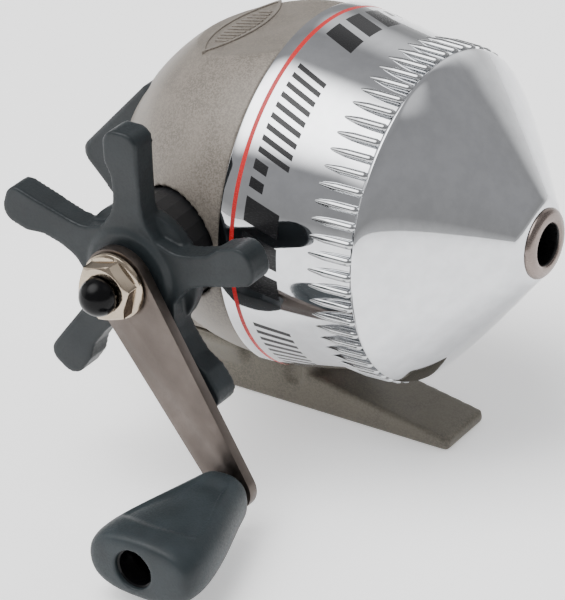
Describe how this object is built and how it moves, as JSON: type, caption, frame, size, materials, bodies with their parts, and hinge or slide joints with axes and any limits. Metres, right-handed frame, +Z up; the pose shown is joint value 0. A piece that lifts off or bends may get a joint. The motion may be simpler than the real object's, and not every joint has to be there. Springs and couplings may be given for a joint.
{
  "type": "spincast reel",
  "caption": "Closed-face spincast fishing reel: crank with paddle knob, star drag, thumb button, ribbed front cover with line guide, and a flat foot for a rod seat.",
  "frame": {"origin": "centre of the foot's flat underside", "axes": "+Z up from the foot to the reel, +X along the spool's axis towards the line guide, crank on the -Y side"},
  "size_m": [0.09, 0.107, 0.0753],
  "materials": {
    "case_paint": "satin metallic taupe paint",
    "chrome": "bright mirror chrome",
    "brushed_steel": "fine brushed steel",
    "nickel": "warm nickel plate",
    "grey_plastic": "dark slate moulded plastic, satin",
    "black_plastic": "gloss black moulded plastic",
    "cast_alloy": "as-cast alloy",
    "brass": "turned brass",
    "drag_fibre": "pressed fibre",
    "clear_line": "clear monofilament"
  },
  "bodies": {
    "reel_frame": {"reel_body": "case_paint", "back_cover": "case_paint", "deck_screw_1": "brushed_steel", "deck_screw_2": "brushed_steel", "deck_screw_3": "brushed_steel", "crank_bearing": "black_plastic", "pinion_bush": "brass", "shaft_bracket": "cast_alloy", "bracket_screw_1": "brushed_steel", "bracket_screw_2": "brushed_steel", "spool": "cast_alloy", "line_winding": "clear_line", "spool_clip": "brushed_steel", "pawl_stud": "brushed_steel", "pawl_spring": "brushed_steel", "return_spring": "brushed_steel"},
    "front_cover": {"front_cover": "chrome", "line_guide": "brushed_steel"},
    "thumb_button": {"thumb_button": "grey_plastic"},
    "rotor": {"centre_shaft": "brushed_steel", "spinner_head": "cast_alloy", "head_nut": "brass", "shaft_clip": "brushed_steel", "pickup_spring": "brushed_steel"},
    "pickup": {"pickup_pin": "brushed_steel"},
    "pinion": {"pinion_gear": "brass"},
    "gear": {"drive_gear": "cast_alloy"},
    "crank": {"crank_shaft": "brushed_steel", "ratchet_wheel": "brushed_steel", "drag_washer": "drag_fibre", "drag_sleeve": "brass", "drag_spring_washer": "brushed_steel", "crank_arm": "brushed_steel", "crank_nut": "nickel", "shaft_cap": "black_plastic", "knob_pin": "brushed_steel"},
    "star": {"star_drag": "grey_plastic", "drag_nut": "brass"},
    "knob": {"knob": "grey_plastic"},
    "pawl": {"anti_reverse_pawl": "brushed_steel"}
  },
  "joints": [
    {"name": "cover_twist", "type": "hinge", "parent": "reel_frame", "child": "front_cover", "pos_m": [0, 0, 0.0429], "axis": [1, 0, 0], "range_deg": [0, 22]},
    {"name": "thumb_press", "type": "slide", "parent": "reel_frame", "child": "thumb_button", "axis": [1, 0, 0], "range_m": [0, 0.0045], "stiffness_N_per_m": 600, "springref_m": -0.002, "deforming": ["return_spring"]},
    {"name": "rotor_spin", "type": "hinge", "parent": "thumb_button", "child": "rotor", "pos_m": [0, 0, 0.0429], "axis": [1, 0, 0], "continuous": true},
    {"name": "pickup_slide", "type": "slide", "parent": "rotor", "child": "pickup", "axis": [0, 0, -1], "range_m": [0, 0.0018], "deforming": ["pickup_spring"]},
    {"name": "pinion_spin", "type": "hinge", "parent": "reel_frame", "child": "pinion", "pos_m": [0, 0, 0.0429], "axis": [1, 0, 0], "continuous": true},
    {"name": "crank_turn", "type": "hinge", "parent": "reel_frame", "child": "gear", "pos_m": [-0.0076, 0, 0.042], "axis": [0, 1, 0], "continuous": true},
    {"name": "drag_slip", "type": "hinge", "parent": "gear", "child": "crank", "pos_m": [-0.0076, 0, 0.042], "axis": [0, 1, 0], "continuous": true},
    {"name": "star_turn", "type": "hinge", "parent": "crank", "child": "star", "pos_m": [-0.0076, 0, 0.042], "axis": [0, 1, 0], "range_deg": [-120, 120]},
    {"name": "knob_spin", "type": "hinge", "parent": "crank", "child": "knob", "pos_m": [0.01378, 0, 0.00831], "axis": [0, 1, 0], "continuous": true},
    {"name": "pawl_swing", "type": "hinge", "parent": "reel_frame", "child": "pawl", "pos_m": [-0.01461, 0, 0.05035], "axis": [0, 1, 0], "range_deg": [0, 10]}
  ],
  "couplings": [
    {"joint": "rotor_spin", "follows": "crank_turn", "ratio": 2.8},
    {"joint": "pinion_spin", "follows": "crank_turn", "ratio": 2.8},
    {"joint": "pickup_slide", "follows": "thumb_press", "ratio": 0.4}
  ]
}
